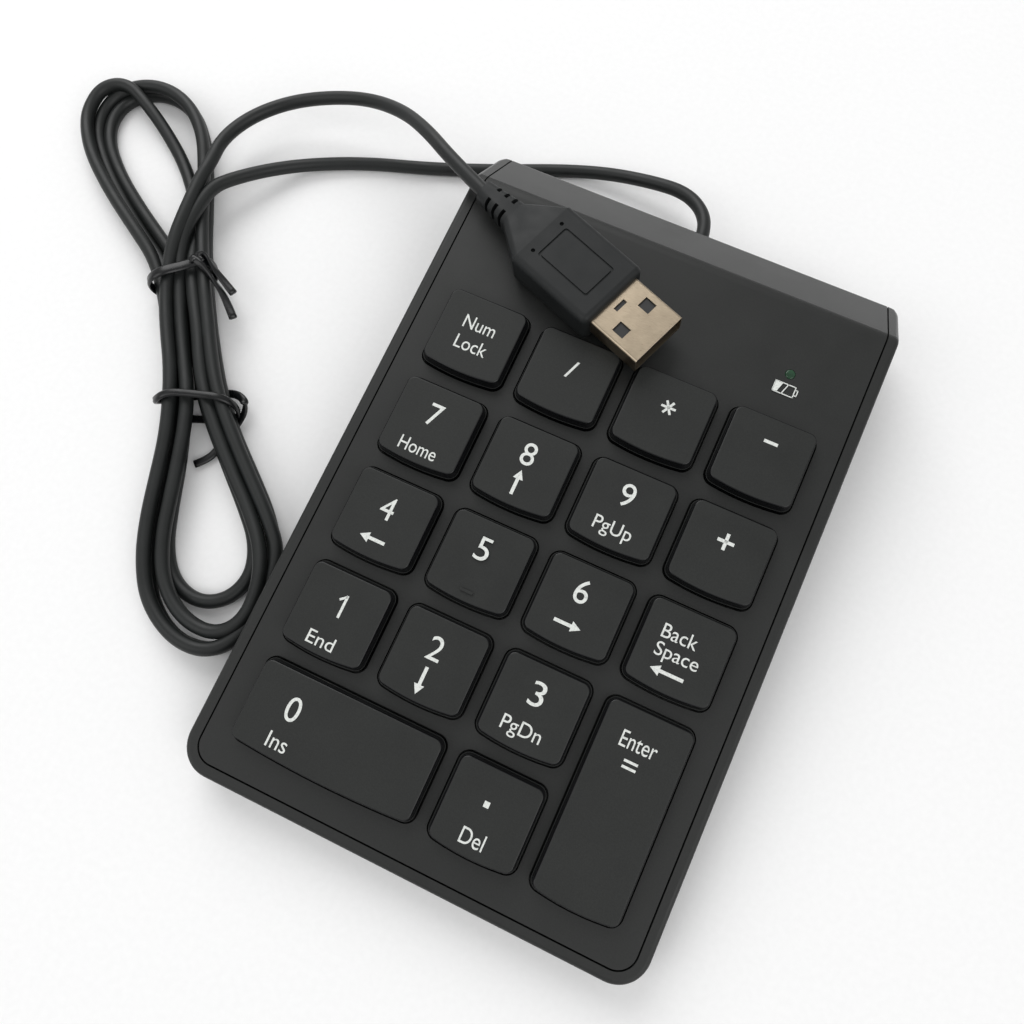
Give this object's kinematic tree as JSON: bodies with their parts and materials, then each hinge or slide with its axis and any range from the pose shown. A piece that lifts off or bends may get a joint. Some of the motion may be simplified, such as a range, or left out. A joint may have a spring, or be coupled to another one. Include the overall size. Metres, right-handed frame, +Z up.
{
  "type": "numeric keypad",
  "caption": "Low-profile wired numeric keypad with a sloping deck, sprung key caps, status lens and a thin USB-A cable folded in a tied hank.",
  "frame": {"origin": "middle of the keypad's footprint at the level of its feet, on the surface it stands on", "axes": "+X to the right as typed on, +Y to the back edge where the cable leaves, +Z up"},
  "size_m": [0.1826, 0.1482, 0.0276],
  "materials": {
    "dark_plastic": "fine matte moulded texture",
    "key_plastic": "fine matte moulded texture, glossier sides",
    "green_lens": "dark green translucent lens",
    "led_resin": "clear resin",
    "silicone": "milky silicone",
    "film": "clear polyester film",
    "plate_steel": "galvanised sheet",
    "screw_steel": "zinc plated",
    "board_laminate": "green solder mask",
    "chip_epoxy": "black epoxy blob",
    "component_body": "small component bodies",
    "inner_plastic": "plain moulding",
    "connector_plastic": "ivory connector plastic",
    "cord_rubber": "smooth matte cable jacket",
    "wire_insulation": "wire insulation",
    "foot_rubber": "soft foot rubber",
    "plug_plastic": "matte overmoulded plastic",
    "plug_steel": "nickel plated steel",
    "plug_insulator": "light grey insulator",
    "contact_metal": "gold plated contacts",
    "tie_plastic": "black plastic coated wire"
  },
  "bodies": {
    "case": {"backing_plate": "plate_steel", "board_parts": "component_body", "board_screws": "screw_steel", "bottom_case": "dark_plastic", "cable_connector": "connector_plastic", "cable_grommet": "cord_rubber", "cable_header": "connector_plastic", "case_screws": "screw_steel", "circuit_board": "board_laminate", "clamp_screws": "screw_steel", "controller_chip": "chip_epoxy", "cord_exit_run": "cord_rubber", "cord_hank": "cord_rubber", "cord_plug_run": "cord_rubber", "inner_cable": "cord_rubber", "inner_wires": "wire_insulation", "led_light_guide": "green_lens", "membrane_bottom_sheet": "film", "membrane_spacer": "film", "membrane_top_sheet": "film", "plate_screws": "screw_steel", "plug_contacts": "contact_metal", "plug_insulator": "plug_insulator", "plug_overmold": "plug_plastic", "plug_shell": "plug_steel", "plug_strain_relief": "plug_plastic", "rubber_dome_sheet": "silicone", "rubber_feet": "foot_rubber", "status_led": "led_resin", "tail_clamp_bar": "inner_plastic", "top_cover": "dark_plastic", "twist_tie_lower": "tie_plastic", "twist_tie_upper": "tie_plastic"},
    "key_0": {"key_0": "key_plastic"},
    "key_1": {"key_1": "key_plastic"},
    "key_2": {"key_2": "key_plastic"},
    "key_3": {"key_3": "key_plastic"},
    "key_4": {"key_4": "key_plastic"},
    "key_5": {"key_5": "key_plastic"},
    "key_6": {"key_6": "key_plastic"},
    "key_7": {"key_7": "key_plastic"},
    "key_8": {"key_8": "key_plastic"},
    "key_9": {"key_9": "key_plastic"},
    "key_add": {"key_add": "key_plastic"},
    "key_backspace": {"key_backspace": "key_plastic"},
    "key_decimal": {"key_decimal": "key_plastic"},
    "key_divide": {"key_divide": "key_plastic"},
    "key_enter": {"key_enter": "key_plastic"},
    "key_multiply": {"key_multiply": "key_plastic"},
    "key_num_lock": {"key_num_lock": "key_plastic"},
    "key_subtract": {"key_subtract": "key_plastic"}
  },
  "joints": [
    {"name": "key_0_press", "type": "slide", "parent": "case", "child": "key_0", "axis": [0, 0.0924, -0.9957], "range_m": [0, 0.002], "stiffness_N_per_m": 360, "deforming": ["rubber_dome_sheet"]},
    {"name": "key_1_press", "type": "slide", "parent": "case", "child": "key_1", "axis": [0, 0.0924, -0.9957], "range_m": [0, 0.002], "stiffness_N_per_m": 300, "deforming": ["rubber_dome_sheet"]},
    {"name": "key_2_press", "type": "slide", "parent": "case", "child": "key_2", "axis": [0, 0.0924, -0.9957], "range_m": [0, 0.002], "stiffness_N_per_m": 300, "deforming": ["rubber_dome_sheet"]},
    {"name": "key_3_press", "type": "slide", "parent": "case", "child": "key_3", "axis": [0, 0.0924, -0.9957], "range_m": [0, 0.002], "stiffness_N_per_m": 300, "deforming": ["rubber_dome_sheet"]},
    {"name": "key_4_press", "type": "slide", "parent": "case", "child": "key_4", "axis": [0, 0.0924, -0.9957], "range_m": [0, 0.002], "stiffness_N_per_m": 300, "deforming": ["rubber_dome_sheet"]},
    {"name": "key_5_press", "type": "slide", "parent": "case", "child": "key_5", "axis": [0, 0.0924, -0.9957], "range_m": [0, 0.002], "stiffness_N_per_m": 300, "deforming": ["rubber_dome_sheet"]},
    {"name": "key_6_press", "type": "slide", "parent": "case", "child": "key_6", "axis": [0, 0.0924, -0.9957], "range_m": [0, 0.002], "stiffness_N_per_m": 300, "deforming": ["rubber_dome_sheet"]},
    {"name": "key_7_press", "type": "slide", "parent": "case", "child": "key_7", "axis": [0, 0.0924, -0.9957], "range_m": [0, 0.002], "stiffness_N_per_m": 300, "deforming": ["rubber_dome_sheet"]},
    {"name": "key_8_press", "type": "slide", "parent": "case", "child": "key_8", "axis": [0, 0.0924, -0.9957], "range_m": [0, 0.002], "stiffness_N_per_m": 300, "deforming": ["rubber_dome_sheet"]},
    {"name": "key_9_press", "type": "slide", "parent": "case", "child": "key_9", "axis": [0, 0.0924, -0.9957], "range_m": [0, 0.002], "stiffness_N_per_m": 300, "deforming": ["rubber_dome_sheet"]},
    {"name": "key_add_press", "type": "slide", "parent": "case", "child": "key_add", "axis": [0, 0.0924, -0.9957], "range_m": [0, 0.002], "stiffness_N_per_m": 300, "deforming": ["rubber_dome_sheet"]},
    {"name": "key_backspace_press", "type": "slide", "parent": "case", "child": "key_backspace", "axis": [0, 0.0924, -0.9957], "range_m": [0, 0.002], "stiffness_N_per_m": 300, "deforming": ["rubber_dome_sheet"]},
    {"name": "key_decimal_press", "type": "slide", "parent": "case", "child": "key_decimal", "axis": [0, 0.0924, -0.9957], "range_m": [0, 0.002], "stiffness_N_per_m": 300, "deforming": ["rubber_dome_sheet"]},
    {"name": "key_divide_press", "type": "slide", "parent": "case", "child": "key_divide", "axis": [0, 0.0924, -0.9957], "range_m": [0, 0.002], "stiffness_N_per_m": 300, "deforming": ["rubber_dome_sheet"]},
    {"name": "key_enter_press", "type": "slide", "parent": "case", "child": "key_enter", "axis": [0, 0.0924, -0.9957], "range_m": [0, 0.002], "stiffness_N_per_m": 360, "deforming": ["rubber_dome_sheet"]},
    {"name": "key_multiply_press", "type": "slide", "parent": "case", "child": "key_multiply", "axis": [0, 0.0924, -0.9957], "range_m": [0, 0.002], "stiffness_N_per_m": 300, "deforming": ["rubber_dome_sheet"]},
    {"name": "key_num_lock_press", "type": "slide", "parent": "case", "child": "key_num_lock", "axis": [0, 0.0924, -0.9957], "range_m": [0, 0.002], "stiffness_N_per_m": 300, "deforming": ["rubber_dome_sheet"]},
    {"name": "key_subtract_press", "type": "slide", "parent": "case", "child": "key_subtract", "axis": [0, 0.0924, -0.9957], "range_m": [0, 0.002], "stiffness_N_per_m": 300, "deforming": ["rubber_dome_sheet"]}
  ]
}
